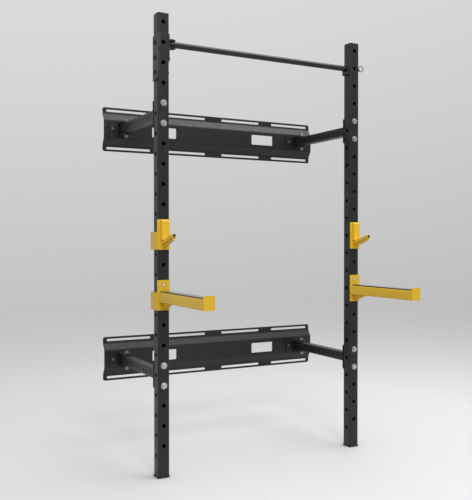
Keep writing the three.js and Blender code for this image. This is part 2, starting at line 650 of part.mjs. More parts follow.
// ---------- clasp that wraps an upright: front plate, outer side plate, back lip, pin ----------
// Its origin is the pin's axis at the upright's front face; x runs outwards by `sign`.
function clasp(sign) {
  const bottom = CLASP_TOP - CLASP_H;
  const sideTop = bottom + CLASP_SIDE_H;
  const outer = HALF + GAP + CLASP_T;
  const lipY = TUBE + CLASP_BACK_GAP;
  const x = (a, b, ...rest) => box(sign * a, sign * b, ...rest);
  return join(
    x(-HALF, outer, -GAP - CLASP_T, -GAP, bottom, CLASP_TOP),
    x(HALF + GAP, outer, -GAP - CLASP_T, lipY + CLASP_T, bottom, sideTop),
    x(outer - CLASP_LIP, outer, lipY, lipY + CLASP_T, bottom, sideTop),
    toY(rod(CLASP_PIN_D, -GAP - 1, CLASP_PIN_L, 12)));
}

const CLASP_FRONT = -GAP - CLASP_T;

// The ramp climbs from the valley to the tip; along and down are its own directions in (y, z).
const PAD = CLASP_FRONT - HOOK_PAD_T;
const RAMP_FOOT = new THREE.Vector2(PAD - HOOK_FLOOR, -HOOK_VALLEY);
const RAMP_SLOPE = Math.atan2(HOOK_RISE, HOOK_REACH + RAMP_FOOT.x);
const ALONG = new THREE.Vector2(-Math.cos(RAMP_SLOPE), Math.sin(RAMP_SLOPE));
const DOWN = new THREE.Vector2(-Math.sin(RAMP_SLOPE), -Math.cos(RAMP_SLOPE));
const RAMP_TOP = new THREE.Vector2(-HOOK_REACH - DOWN.x * RAMP_T, HOOK_RISE - HOOK_VALLEY);
const onRamp = (back, below) => RAMP_TOP.clone()
  .addScaledVector(ALONG, -back).addScaledVector(DOWN, below).toArray();

function hookPad() {
  const top = CLASP_TOP - 3;
  const chamfer = HOOK_PAD_T / 3;
  return sweepX(outline([
    [CLASP_FRONT + 1, top], [PAD + chamfer, top], [PAD, top - chamfer],
    [PAD, -HOOK_VALLEY], [CLASP_FRONT + 1, -HOOK_VALLEY],
  ]), -HOOK_W / 2, HOOK_W / 2);
}

function ramp() {
  const root = CLASP_FRONT + 1;
  const underside = -HOOK_VALLEY - RAMP_T / Math.cos(RAMP_SLOPE)
    - (root - RAMP_FOOT.x) * Math.tan(RAMP_SLOPE);
  return sweepX(outline([
    [root, -HOOK_VALLEY + 1], [RAMP_FOOT.x, -HOOK_VALLEY + 1], onRamp(0, 0), onRamp(0, RAMP_T),
    [root, underside],
  ]), -RAMP_W / 2, RAMP_W / 2);
}

function rampGusset() {
  const foot = CLASP_TOP - CLASP_H + GUSSET_FOOT;
  return sweepX(outline([
    [CLASP_FRONT + 1, foot], [CLASP_FRONT, foot], onRamp(RAMP_T / 2, RAMP_T + GUSSET_NOSE),
    onRamp(RAMP_T / 2, RAMP_T / 2), [CLASP_FRONT + 1, -HOOK_VALLEY - 2],
  ]), -GUSSET_T / 2, GUSSET_T / 2);
}

const jCup = (sign) => join(clasp(sign), hookPad(), ramp(), rampGusset());

// Round plug in front of the ramp's end face.
function jCupTip() {
  const [y, z] = onRamp(-GAP, RAMP_T / 2);
  return rod(TIP_D, 0, TIP_T, 12).rotateX(Math.PI / 2 - RAMP_SLOPE).translate(0, y, z);
}

function spotterArm(sign) {
  const end = -SPOTTER_REACH;
  const top = SPOTTER_H / 2 - SPOTTER_DROP;
  const bottom = -SPOTTER_H / 2 - SPOTTER_DROP;
  const half = SPOTTER_W / 2;
  const inner = half - SPOTTER_WALL;
  const shell = box(-half, half, end + 1, CLASP_FRONT + 1, bottom, top);
  const stop = sweepY(roundedRect(STOP_W, STOP_H, 4), end, end + STOP_T)
    .translate(0, 0, bottom + STOP_H / 2);
  const gusset = sweepX(outline([
    [CLASP_FRONT + 1, bottom + 1], [CLASP_FRONT - GUSSET_L, bottom + 1],
    [CLASP_FRONT - GUSSET_L, bottom - 1], [CLASP_FRONT, CLASP_TOP - CLASP_H + 3],
    [CLASP_FRONT + 1, CLASP_TOP - CLASP_H + 3],
  ]), -GUSSET_T / 2, GUSSET_T / 2);
  const hollow = box(-inner, inner, end + STOP_T, CLASP_FRONT,
    bottom + SPOTTER_WALL, top - SPOTTER_WALL);
  const vent = hole(VENT_D, bottom - 2, bottom + SPOTTER_WALL + 2)
    .translate(half / 2 + 2, CLASP_FRONT - GUSSET_L - 2 * VENT_D, 0);
  return cut(join(clasp(sign), shell, stop, gusset), hollow, vent);
}

function spotterLiner() {
  const top = SPOTTER_H / 2 - SPOTTER_DROP;
  return box(-LINER_W / 2, LINER_W / 2, -SPOTTER_REACH + STOP_T + GAP, CLASP_FRONT - 4,
    top + GAP, top + LINER_T);
}

function addAttachments(side, sign, gate) {
  add(gate, `${side}_j_cup`, jCup(sign), YELLOW, 0, FRONT, CUP_PIN_Z);
  add(gate, `${side}_j_cup_tip`, jCupTip(), RUBBER, 0, FRONT, CUP_PIN_Z);
  add(gate, `${side}_spotter_arm`, spotterArm(sign), YELLOW, 0, FRONT, SPOTTER_PIN_Z);
  add(gate, `${side}_spotter_liner`, spotterLiner(), RUBBER, 0, FRONT, SPOTTER_PIN_Z);
}

// ---------- assembly ----------
addWallFrame();
const leftGate = addGate('left', -1, PLATE_BOLT_ZS);
addLeftBarBracket(leftGate);
addAttachments('left', -1, leftGate);
add(leftGate, 'pull_up_bar', pullUpBar(), BLACK, BAR_PIN_X, UPRIGHT_Y, BAR_Z);
const rightGate = addGate('right', 1, [BAR_Z, SADDLE_BOLT_Z]);
addRightBarBracket(rightGate);
addAttachments('right', 1, rightGate);

export default rack;
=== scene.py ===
import json
import math

import bmesh
import bpy
from mathutils import Matrix, Vector


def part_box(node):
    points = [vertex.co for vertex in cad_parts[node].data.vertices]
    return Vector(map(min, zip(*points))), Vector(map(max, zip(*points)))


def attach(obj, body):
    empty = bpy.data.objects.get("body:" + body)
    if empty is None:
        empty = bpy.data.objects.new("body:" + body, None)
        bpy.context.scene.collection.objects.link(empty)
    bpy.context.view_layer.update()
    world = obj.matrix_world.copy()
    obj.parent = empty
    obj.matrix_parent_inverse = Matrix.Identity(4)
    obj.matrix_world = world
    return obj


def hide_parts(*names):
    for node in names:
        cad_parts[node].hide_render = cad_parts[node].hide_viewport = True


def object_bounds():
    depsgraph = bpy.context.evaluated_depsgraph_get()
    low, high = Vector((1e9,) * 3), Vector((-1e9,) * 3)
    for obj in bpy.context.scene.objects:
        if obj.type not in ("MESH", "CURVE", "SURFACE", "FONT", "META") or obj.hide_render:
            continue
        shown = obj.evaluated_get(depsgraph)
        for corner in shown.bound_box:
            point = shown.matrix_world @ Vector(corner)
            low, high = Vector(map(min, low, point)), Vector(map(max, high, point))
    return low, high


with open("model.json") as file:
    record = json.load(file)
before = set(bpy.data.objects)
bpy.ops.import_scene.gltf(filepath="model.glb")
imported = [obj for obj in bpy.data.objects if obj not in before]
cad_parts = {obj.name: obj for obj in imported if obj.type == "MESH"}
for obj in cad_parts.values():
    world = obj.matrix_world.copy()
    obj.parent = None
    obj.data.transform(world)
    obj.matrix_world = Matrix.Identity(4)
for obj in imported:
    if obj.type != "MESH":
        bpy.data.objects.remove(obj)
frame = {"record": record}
cad_low, cad_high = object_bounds()

BODY = {node: body for body, nodes in frame["record"]["behaviour"]["bodies"].items() for node in nodes}
SLOT = {part["node"]: part["material_slot"] for part in frame["record"]["subparts"]}

# ---------- sizes in metres, as the solids have them ----------
SEAT_GAP = 0.0003
TUBE = 0.060
TUBE_WALL = 0.003
TUBE_CORNER = 0.006
CAP_PLUG_W = TUBE - 2 * (TUBE_WALL + SEAT_GAP)
HOLE_D = 0.021
HOLE_PITCH = 0.100
FIRST_FRONT_HOLE = 0.160  # above the floor
FRONT_HOLES = 22
FIRST_SIDE_HOLE = 0.110
SIDE_HOLES = 18
CROSS_BORE_R = 0.0064  # holes for the 12 mm cross bolts and pins
STRINGER_SHEET = 0.003
STRINGER_OUT = 0.027
STRINGER_BEND = 0.006
STRINGER_CORNER = 0.012
FLANGE_H = 0.036
WEB_H = 0.102
SLOT_SIZE = (0.263, 0.013)
SLOT_CORNER = 0.005
SLOT_CENTRES = (0.1875, 0.5415)
WINDOW_SIZE = (0.150, 0.060)
WINDOW_CORNER = 0.006
WINDOW_CENTRE = 0.330
ARM = 0.050
ARM_WALL = 0.003
ARM_CORNER = 0.004
ARM_PLATE_T = 0.006
ARM_BORE_R = 0.0072  # holes for the arm bolts
ARM_HOLE_D = 0.012
ARM_HOLE_PITCH = 0.050
ARM_HOLES = 8
ARM_FIRST_HOLE = 0.060
PIVOT_D = 0.016
PIVOT_BORE_R = PIVOT_D / 2 + SEAT_GAP
PIVOT_PLAY = 0.001  # between an arm and each lug
LUG_T = 0.010
LUG_R = 0.024
LUG_ROOT_W = 0.064
BRACKET_T = 0.006
BRACKET_BORE_R = 0.0044
PLATE_CORNER = 0.008
BAR_D = 0.030
RING_TILT = 0.75
RING_R = 0.016
RING_WIRE_R = 0.0020
RING_EYE_OUT = 0.026
BAR_WALL = 0.0025
BAR_SOLID_END = 0.026  # from the bar's pin to the start of its bore
BAR_PIN_R = 0.006
BAR_PIN_HEAD = (0.010, 0.004)  # radius and height
RING_PIN_R = 0.006
RING_COLLAR = (0.012, 0.005)  # radius and thickness
RING_STUB_R = 0.005
RING_EYE_R = 0.0034
CLASP_T = 0.005
CLASP_BEND = 0.007
CLASP_OVERLAP = 0.012  # front plate over the wrap
CLASP_PIN_R = 0.008
CLASP_PIN_REACH = 0.030  # behind the upright's front face
PIN_EYE_R = 0.0102
CLASP_SIDE_H = 0.088
CLASP_BACK_GAP = 0.027
CLASP_LIP = 0.030
PIN_DROP = 0.025  # pin below the top of a clasp's front plate
HOOK_W = 0.036
HOOK_PAD_T = 0.017
HOOK_REACH = 0.131
HOOK_VALLEY = 0.076
HOOK_RISE = 0.028
HOOK_FLOOR = 0.010
RAMP_W = 0.024
RAMP_T = 0.016
GUSSET_T = 0.012
GUSSET_FOOT = 0.008
GUSSET_NOSE = 0.012
TIP_R = 0.007
TIP_T = 0.004
SPOTTER_TUBE = (0.052, 0.050)
SPOTTER_STOP = (0.056, 0.066)
SPOTTER_STOP_T = 0.006
SPOTTER_GUSSET_L = 0.110
BEAD_R = dict(lug=0.0026, arm=0.0030, ear=0.0020, cup=0.0022, spotter=0.0025)
BRACKET_SCREW = dict(washer=0.017, washer_t=0.0016, flats=0.013, head=0.006, shank=0.008)
ARM_SCREW = dict(washer=0.033, washer_t=0.003, flats=0.021, head=0.009, shank=0.0134)
CROSS_SCREW = dict(washer=0.024, washer_t=0.0025, flats=0.018, head=0.008, shank=0.012)
PIVOT_SCREW = dict(washer=0.028, washer_t=0.003, flats=0.022, head=0.010, shank=PIVOT_D)

X_AXIS = Vector((1, 0, 0))
Y_AXIS = Vector((0, 1, 0))
Z_AXIS = Vector((0, 0, 1))


def middle(node):
    low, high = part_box(node)
    return (Vector(low) + Vector(high)) / 2


def size(node):
    low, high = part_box(node)
    return Vector(high) - Vector(low)


# ---------- finishes ----------
def finish_nodes(name):
    finish = bpy.data.materials.new(name)
    finish.use_nodes = True
    nodes = finish.node_tree.nodes
    return finish, nodes, finish.node_tree.links, nodes["Principled BSDF"]


def noise(nodes, links, scale, detail=4.0, stretch=(1, 1, 1)):
    place = nodes.new("ShaderNodeTexCoord")
    turn = nodes.new("ShaderNodeMapping")
    turn.inputs["Scale"].default_value = stretch
    grain = nodes.new("ShaderNodeTexNoise")
    grain.inputs["Scale"].default_value = scale
    grain.inputs["Detail"].default_value = detail
    links.new(place.outputs["Object"], turn.inputs["Vector"])
    links.new(turn.outputs["Vector"], grain.inputs["Vector"])
    return grain.outputs["Fac"]


def spread(nodes, links, value, low, high, start=0.3, end=0.7):
    ramp = nodes.new("ShaderNodeMapRange")
    ramp.inputs["From Min"].default_value = start
    ramp.inputs["From Max"].default_value = end
    ramp.inputs["To Min"].default_value = low
    ramp.inputs["To Max"].default_value = high
    links.new(value, ramp.inputs["Value"])
    return ramp.outputs["Result"]


def two_tones(nodes, links, value, first, second):
    mix = nodes.new("ShaderNodeMix")
    mix.data_type = "RGBA"
    mix.inputs["A"].default_value = (*first, 1)
    mix.inputs["B"].default_value = (*second, 1)
    links.new(value, mix.inputs["Factor"])
    return mix.outputs["Result"]


def relief(nodes, links, value, strength, depth):
    bump = nodes.new("ShaderNodeBump")
    bump.inputs["Strength"].default_value = strength
    bump.inputs["Distance"].default_value = depth
    links.new(value, bump.inputs["Height"])
    return bump.outputs["Normal"]


def powder_coat(name, tone, deeper, rough, orange_peel):
    """Baked powder paint: slow tone changes, patchy gloss and a fine orange-peel skin."""
    finish, nodes, links, shader = finish_nodes(name)
    drift = noise(nodes, links, 5.0, 3.0)
    links.new(two_tones(nodes, links, spread(nodes, links, drift, 0, 1), tone, deeper),
              shader.inputs["Base Color"])
    patches = noise(nodes, links, 38.0, 5.0)
    links.new(spread(nodes, links, patches, rough - 0.05, rough + 0.07), shader.inputs["Roughness"])
    skin = noise(nodes, links, 900.0, 2.0)
    links.new(relief(nodes, links, skin, orange_peel, 0.0003), shader.inputs["Normal"])
    shader.inputs["IOR"].default_value = 1.46
    return finish


def zinc_plate(name, bright, dull, metallic=1.0):
    finish, nodes, links, shader = finish_nodes(name)
    bloom = noise(nodes, links, 120.0, 4.0)
    links.new(two_tones(nodes, links, spread(nodes, links, bloom, 0, 1),
                        bright, dull), shader.inputs["Base Color"])
    links.new(spread(nodes, links, bloom, 0.24, 0.42), shader.inputs["Roughness"])
    scuffs = noise(nodes, links, 700.0, 2.0, (1, 1, 6))
    links.new(relief(nodes, links, scuffs, 0.12, 0.0002), shader.inputs["Normal"])
    shader.inputs["Metallic"].default_value = metallic
    return finish


def moulded(name, tone, rough, grain_scale, depth):
    """Moulded rubber or plastic with a spark-eroded grain."""
    finish, nodes, links, shader = finish_nodes(name)
    grain = noise(nodes, links, grain_scale, 3.0)
    lighter = tuple(c * 1.5 for c in tone)
    links.new(two_tones(nodes, links, grain, tone, lighter), shader.inputs["Base Color"])
    links.new(spread(nodes, links, grain, rough - 0.08, rough + 0.08), shader.inputs["Roughness"])
    links.new(relief(nodes, links, grain, 0.35, depth), shader.inputs["Normal"])
    return finish


BLACK_COAT = powder_coat("black_powder_coat", (0.0115, 0.0114, 0.0118), (0.0145, 0.0143, 0.0148),
                         0.40, 0.10)
YELLOW_COAT = powder_coat("yellow_powder_coat", (0.93, 0.58, 0.028), (0.85, 0.53, 0.023), 0.36, 0.08)
WARM_COAT = powder_coat("warm_black_powder_coat", (0.0200, 0.0140, 0.0150), (0.0240, 0.0170, 0.0180),
                        0.42, 0.10)
BLACK_OXIDE = powder_coat("black_oxide_wire", (0.0030, 0.0030, 0.0032), (0.0050, 0.0048, 0.0048),
                          0.62, 0.05)
RED_COAT = powder_coat("dark_red_paint", (0.13, 0.012, 0.014), (0.10, 0.010, 0.012), 0.40, 0.05)
ZINC = zinc_plate("bright_zinc", (0.66, 0.67, 0.68), (0.50, 0.50, 0.47))
PIN_ZINC = zinc_plate("fresh_zinc_pin", (0.95, 0.94, 0.88), (0.86, 0.84, 0.76), 0.35)
# A darker copy of the bright zinc for the fasteners at the wall: painted shade of the shaded hinge corner.
SHADED_ZINC = zinc_plate("zinc_with_painted_shade", (0.34, 0.34, 0.35), (0.20, 0.20, 0.21))
# Black plug for each ramp's end: painted shade, a dark part standing for the shaded gap at the ramp's tip.
BLACK_SHADE_PLUG = moulded("black_plug_painted_shade", (0.008, 0.008, 0.009), 0.80, 1100.0, 0.0001)
LINER_PLASTIC = moulded("black_liner_plastic", (0.012, 0.012, 0.013), 0.16, 1500.0, 0.00002)
PLASTIC = moulded("black_cap_plastic", (0.016, 0.016, 0.018), 0.50, 1100.0, 0.0001)
FINISH = {
    "black_steel": BLACK_COAT, "yellow_steel": YELLOW_COAT, "zinc_steel": ZINC, "red_steel": RED_COAT,
    "black_rubber": LINER_PLASTIC, "black_plastic": PLASTIC,
}


# ---------- forms ----------
def form(bm):
    """A loose object from a bmesh, with its faces pointing out."""
    bmesh.ops.recalc_face_normals(bm, faces=bm.faces)
    mesh = bpy.data.meshes.new("form")
    bm.to_mesh(mesh)
    bm.free()
    loose = bpy.data.objects.new("form", mesh)
    bpy.context.collection.objects.link(loose)
    return loose


def block(low, high):
    bm = bmesh.new()
    low, high = Vector(low), Vector(high)
    place = Matrix.LocRotScale((low + high) / 2, None, high - low)
    bmesh.ops.create_cube(bm, size=1, matrix=place)
    return bm


def rod(radius, start, end, segments=32, bm=None):
    bm = bm or bmesh.new()
    start, end = Vector(start), Vector(end)
    along = end - start
    place = Matrix.Translation((start + end) / 2) @ along.to_track_quat("Z", "Y").to_matrix().to_4x4()
    bmesh.ops.create_cone(bm, cap_ends=True, segments=segments, radius1=radius, radius2=radius,
                          depth=along.length, matrix=place)
    return bm


def rounded_face(bm, width, height, radius, segments=6):
    """A flat plate outline in the XY plane with round corners."""
    made = bmesh.ops.create_grid(bm, x_segments=1, y_segments=1, size=0.5)
    bmesh.ops.scale(bm, vec=(width, height, 1), verts=made["verts"])
    if radius:
        bmesh.ops.bevel(bm, geom=made["verts"], offset=radius, segments=segments, profile=0.5,
                        affect="VERTICES", material=-1)
    bm.faces.ensure_lookup_table()
    return bm.faces[-1]


def thicken(bm, faces, travel):
    """Runs faces along travel into a closed solid."""
    made = bmesh.ops.extrude_face_region(bm, geom=faces, use_keep_orig=True)
    moved = [v for v in made["geom"] if isinstance(v, bmesh.types.BMVert)]
    bmesh.ops.translate(bm, vec=travel, verts=moved)
    return moved


# Turns the XY plane of an outline into the plane across each direction.
ACROSS_X = Matrix(((0, 0, 1, 0), (1, 0, 0, 0), (0, 1, 0, 0), (0, 0, 0, 1)))
ACROSS_Y = Matrix(((1, 0, 0, 0), (0, 0, -1, 0), (0, 1, 0, 0), (0, 0, 0, 1)))
ACROSS_Z = Matrix.Identity(4)


def rounded_plate(turn, centre, width, height, thickness, radius, segments=6):
    """A plate with round corners: width and height across, thickness along the turn's direction."""
    bm = bmesh.new()
    face = rounded_face(bm, width, height, radius, segments)
    thicken(bm, [face], (0, 0, thickness))
    bmesh.ops.translate(bm, vec=(0, 0, -thickness / 2), verts=bm.verts)
    bmesh.ops.transform(bm, matrix=Matrix.Translation(centre) @ turn, verts=bm.verts)
    return bm


def outline_plate(turn, points, low, high):
    """A flat outline run from low to high along the turn's direction."""
    bm = bmesh.new()
    face = bm.faces.new([bm.verts.new((x, y, low)) for x, y in points])
    thicken(bm, [face], (0, 0, high - low))
    bmesh.ops.transform(bm, matrix=turn, verts=bm.verts)
    return bm


def square_tube(turn, centre, width, wall, corner, length):
    bm = bmesh.new()
    face = rounded_face(bm, width, width, corner)
    ring = bmesh.ops.inset_region(bm, faces=[face], thickness=wall, use_boundary=True,
                                  use_even_offset=True)["faces"]
    bmesh.ops.delete(bm, geom=[face], context="FACES_ONLY")
    thicken(bm, ring, (0, 0, length))
    bmesh.ops.translate(bm, vec=(0, 0, -length / 2), verts=bm.verts)
    bmesh.ops.transform(bm, matrix=Matrix.Translation(centre) @ turn, verts=bm.verts)
    return bm


def bent_sheet(profile, travel, bend, thickness, grow):
    """Sheet folded along a line of points with round bends, run along travel.

    The line is one skin of the sheet; the widest panel's thickness lies on the side that grow points to.
    """
    bm = bmesh.new()
    line = [bm.verts.new(point) for point in profile]
    edges = [bm.edges.new(pair) for pair in zip(line, line[1:])]
    made = bmesh.ops.extrude_edge_only(bm, edges=edges)
    moved = [v for v in made["geom"] if isinstance(v, bmesh.types.BMVert)]
    bmesh.ops.translate(bm, vec=travel, verts=moved)
    folds = [e for e in bm.edges if len(e.link_faces) == 2]
    bmesh.ops.bevel(bm, geom=folds, offset=bend, segments=6, profile=0.5, affect="EDGES", material=-1)
    bmesh.ops.recalc_face_normals(bm, faces=bm.faces)
    widest = max(bm.faces, key=lambda f: f.calc_area())
    if widest.normal.dot(grow) < 0:
        bmesh.ops.reverse_faces(bm, faces=bm.faces)
    bmesh.ops.solidify(bm, geom=bm.faces[:], thickness=-thickness)
    return bm


def bake(loose):
    """Makes the modifiers' result the object's own mesh."""
    seen = loose.evaluated_get(bpy.context.evaluated_depsgraph_get())
    mesh = bpy.data.meshes.new_from_object(seen)
    loose.modifiers.clear()
    loose.data = mesh
    return loose


def carve(loose, tools, how="DIFFERENCE"):
    """Cuts the tools out of a loose object, or adds or keeps what they share."""
    for tool in tools:
        cutter = form(tool)
        work = loose.modifiers.new("cut", "BOOLEAN")
        work.object = cutter
        work.operation = how
        work.solver = "EXACT"
        bake(loose)
        bpy.data.objects.remove(cutter)
    return loose


def drilled(loose, places, radius, direction, reach, segments=32):
    """Round holes at places, all in one cut."""
    tool = bmesh.new()
    for place in places:
        centre = Vector(place)
        rod(radius, centre - direction * reach, centre + direction * reach, segments, tool)
    return carve(loose, [tool])


def piece(name, node, parts, soften=0.0007, steps=2, finish=None, stands_for=True):
    """One finished piece from loose parts: softened edges, finish and body; without a given finish it takes
    its slot's.
    """
    bm = bmesh.new()
    for part in parts:
        part = part if isinstance(part, bpy.types.Object) else form(part)
        bm.from_mesh(part.data)
        bpy.data.objects.remove(part)
    mesh = bpy.data.meshes.new(name)
    bm.to_mesh(mesh)
    bm.free()
    mesh.materials.clear()
    mesh.materials.append(finish or FINISH[SLOT[node]])
    for face in mesh.polygons:
        face.use_smooth = True
    mesh.set_sharp_from_angle(angle=math.radians(38))
    made = bpy.data.objects.new(name, mesh)
    bpy.context.collection.objects.link(made)
    if soften:
        edge = made.modifiers.new("softened edges", "BEVEL")
        edge.width = soften
        edge.segments = steps
        edge.limit_method = "ANGLE"
        edge.angle_limit = math.radians(38)
        edge.use_clamp_overlap = True
        edge.harden_normals = True
        edge.miter_outer = "MITER_ARC"
    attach(made, BODY[node])
    if stands_for:
        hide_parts(node)
    return made


def seam(radius, *points):
    """Weld bead along a line of points, as a chain of short overlapping rods."""
    bm = bmesh.new()
    for start, end in zip(points, points[1:]):
        rod(radius, start, end, 12, bm)
    return bm


# ---------- wall stringers ----------
def slot_tool(centre, width, height, radius):
    return rounded_plate(ACROSS_Y, centre, width, height, 4 * STRINGER_OUT, radius, 5)


def wall_stringer(level):
    node = f"{level}_stringer"
    low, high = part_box(node)
    z = middle(node).z
    half = size(node).z / 2
    flange = half - FLANGE_H
    inner = STRINGER_SHEET
    profile = [
        (low[0], -inner, z + half), (low[0], -inner, z + flange),
        (low[0], -STRINGER_OUT, z + WEB_H / 2), (low[0], -STRINGER_OUT, z - WEB_H / 2),
        (low[0], -inner, z - flange), (low[0], -inner, z - half),
    ]
    length = high[0] - low[0]
    sheet = form(bent_sheet(profile, (length, 0, 0), STRINGER_BEND, STRINGER_SHEET, Y_AXIS))
    span = rounded_plate(ACROSS_Y, (0, 0, z), length, 2 * half, 4 * STRINGER_OUT, STRINGER_CORNER, 8)
    carve(sheet, [span], "INTERSECT")
    openings = []
    for side in (-1, 1):
        for x in SLOT_CENTRES:
            for edge in (-1, 1):
                place = (side * x, 0, z + edge * (half - FLANGE_H / 2))
                openings.append(slot_tool(place, *SLOT_SIZE, SLOT_CORNER))
        openings.append(slot_tool((side * WINDOW_CENTRE, 0, z), *WINDOW_SIZE, WINDOW_CORNER))
    carve(sheet, openings)
    bolts = [middle(f"{side}_{level}_bracket_bolt_{end}") for side in ("left", "right")
             for end in ("outer", "inner")]
    drilled(sheet, bolts, BRACKET_BORE_R, Y_AXIS, 0.05)
    piece(f"{level}_wall_stringer", node, [sheet], soften=0.0006)


# ---------- hinges ----------
def hinge_lug(pivot, root_y, low, high):
    bm = bmesh.new()
    for z in (low, high):
        bmesh.ops.create_circle(bm, segments=48, radius=LUG_R,
                                matrix=Matrix.Translation((pivot.x, pivot.y, z)))
        for side in (-1, 1):
            bm.verts.new((pivot.x + side * LUG_ROOT_W / 2, root_y, z))
    bmesh.ops.convex_hull(bm, input=bm.verts)
    bmesh.ops.dissolve_limit(bm, angle_limit=math.radians(1), verts=bm.verts, edges=bm.edges)
    return bm


def hinge_bracket(side, level):
    node = f"{side}_{level}_hinge_bracket"
    low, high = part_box(node)
    z = middle(node).z
    pivot = middle(f"{side}_{level}_pivot_nut")
    face_y = high[1] - BRACKET_T
    plate_centre = (pivot.x, high[1] - BRACKET_T / 2, z)
    plate = form(rounded_plate(ACROSS_Y, plate_centre, high[0] - low[0], high[2] - low[2],
                               BRACKET_T, PLATE_CORNER))
    bolts = [middle(f"{side}_{level}_bracket_bolt_{end}") for end in ("outer", "inner")]
    drilled(plate, bolts, BRACKET_BORE_R, Y_AXIS, 0.05)
    lug_in = ARM / 2 + PIVOT_PLAY
    parts = [plate]
    for edge in (-1, 1):
        ends = sorted((z + edge * lug_in, z + edge * (lug_in + LUG_T)))
        lug = form(hinge_lug(pivot, face_y + 0.0002, *ends))
        drilled(lug, [pivot], PIVOT_BORE_R, Z_AXIS, 0.3)
        parts.append(lug)
        for root in ends:
            reach = LUG_ROOT_W / 2 - 0.002
            ends_x = (pivot.x - reach, pivot.x + reach)
            parts.append(seam(BEAD_R["lug"], *[(x, face_y, root) for x in ends_x]))
    piece(f"{side}_{level}_hinge", node, parts, soften=0.001)


# ---------- bolts and nuts ----------
def hexagon(bm, flats, low, high, chamfer=0.0009):
    made = bmesh.ops.create_cone(bm, cap_ends=True, segments=6, radius1=flats / math.sqrt(3),
                                 radius2=flats / math.sqrt(3), depth=high - low,
                                 matrix=Matrix.Translation((0, 0, (low + high) / 2)))
    corners = [v for v in made["verts"] if v.co.z > (low + high) / 2]
    bmesh.ops.bevel(bm, geom=corners, offset=chamfer, segments=2, profile=0.5,
                    affect="VERTICES", material=-1)
    rod(flats * 0.46, (0, 0, high - 0.001), (0, 0, high + 0.0004), 32, bm)


def hex_bolt(node, direction, washer, washer_t, flats, head, shank):
    """Bolt whose head points along direction; its length and place come from the solid's box."""
    length = abs(size(node).dot(direction))
    bm = bmesh.new()
    rod(washer / 2, (0, 0, -head - washer_t), (0, 0, -head), 40, bm)
    hexagon(bm, flats, -head, 0)
    rod(shank / 2, (0, 0, -length), (0, 0, -head), 24, bm)
    head_end = middle(node) + direction * (length / 2)
    turn = direction.to_track_quat("Z", "Y").to_matrix().to_4x4()
    bmesh.ops.transform(bm, matrix=Matrix.Translation(head_end) @ turn, verts=bm.verts)
    return bm, head_end, length


def button_bolt(node, direction, washer, washer_t, flats, head, shank):
    """Low domed head with a round socket, over the same washer and shank."""
    length = abs(size(node).dot(direction))
    dome_r, dome_t, rim_t = flats * 0.56, 0.0042, 0.001
    socket_r, socket_deep = flats * 0.2, 0.0024
    seat = -head
    dome = [(seat - washer_t, washer / 2), (seat, washer / 2), (seat, dome_r), (seat + rim_t, dome_r)]
    for i in range(1, 9):
        t = i / 8 * math.pi / 2
        dome.append((seat + rim_t + (dome_t - rim_t) * math.sin(t),
                     socket_r + (dome_r - socket_r) * math.cos(t)))
    dome += [(seat + dome_t - socket_deep, socket_r), (seat + dome_t - socket_deep, 0)]
    profile = [(-length, 0), (-length, shank / 2), (seat - washer_t, shank / 2)] + dome
    head_end = middle(node) + direction * (length / 2)
    turn = direction.to_track_quat("X", "Z").to_matrix().to_4x4()
    bm = lathe(profile, (0, 0, 0))
    bmesh.ops.transform(bm, matrix=Matrix.Translation(head_end) @ turn, verts=bm.verts)
    return bm, head_end, length


def through_bolt(node, direction, screw, nut=True, finish=None, make=hex_bolt):
    bm, head_end, length = make(node, direction, **screw)
    parts = [bm]
    if nut:
        head, shank = screw["head"], screw["shank"]
        far = bmesh.new()
        hexagon(far, screw["flats"], 0, head)
        rod(shank / 2, (0, 0, head - 0.001), (0, 0, head + 0.0012), 24, far)
        place = head_end - direction * (length - head)
        turn = (-direction).to_track_quat("Z", "Y").to_matrix().to_4x4()
        bmesh.ops.transform(far, matrix=Matrix.Translation(place) @ turn, verts=far.verts)
        parts.append(far)
    piece(f"{node}_fixing", node, parts, soften=0.0004, finish=finish)


def pivot_fasteners(side, level):
    node = f"{side}_{level}_pivot_bolt"
    bm, _, _ = hex_bolt(node, Z_AXIS, **PIVOT_SCREW)
    # Hinge bolt and nut take the darker zinc: painted shade.
    piece(f"{side}_{level}_hinge_bolt", node, [bm], soften=0.0004, finish=SHADED_ZINC)
    nut = f"{side}_{level}_pivot_nut"
    low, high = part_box(nut)
    body = bmesh.new()
    washer_t = PIVOT_SCREW["washer_t"]
    hexagon(body, PIVOT_SCREW["flats"], washer_t, high[2] - low[2])
    rod(PIVOT_SCREW["washer"] / 2, (0, 0, 0), (0, 0, washer_t), 40, body)
    place = Matrix.Translation((middle(nut).x, middle(nut).y, high[2])) @ Matrix.Rotation(math.pi, 4, "X")
    bmesh.ops.transform(body, matrix=place, verts=body.verts)
    piece(f"{side}_{level}_hinge_nut", nut, [body], soften=0.0004, finish=SHADED_ZINC)


# ---------- uprights ----------
def upright(side):
    node = f"{side}_upright"
    low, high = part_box(node)
    centre = middle(node)
    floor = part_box(f"{side}_foot_cap")[0][2]
    tube = form(square_tube(ACROSS_Z, centre, TUBE, TUBE_WALL, TUBE_CORNER, high[2] - low[2]))
    fronts = [(centre.x, centre.y, floor + FIRST_FRONT_HOLE + i * HOLE_PITCH) for i in range(FRONT_HOLES)]
    sides = [(centre.x, centre.y, floor + FIRST_SIDE_HOLE + i * HOLE_PITCH) for i in range(SIDE_HOLES)]
    drilled(tube, fronts, HOLE_D / 2, Y_AXIS, TUBE)
    drilled(tube, sides, HOLE_D / 2, X_AXIS, TUBE)
    if side == "left":
        crossing = [middle(f"outer_plate_bolt_{end}").z for end in ("top", "middle", "bottom")]
    else:
        crossing = [middle("ring_pin").z, middle("saddle_bolt").z]
    drilled(tube, [(centre.x, centre.y, z) for z in crossing], CROSS_BORE_R, X_AXIS, TUBE)
    piece(f"{side}_upright_tube", node, [tube], soften=0.0006)


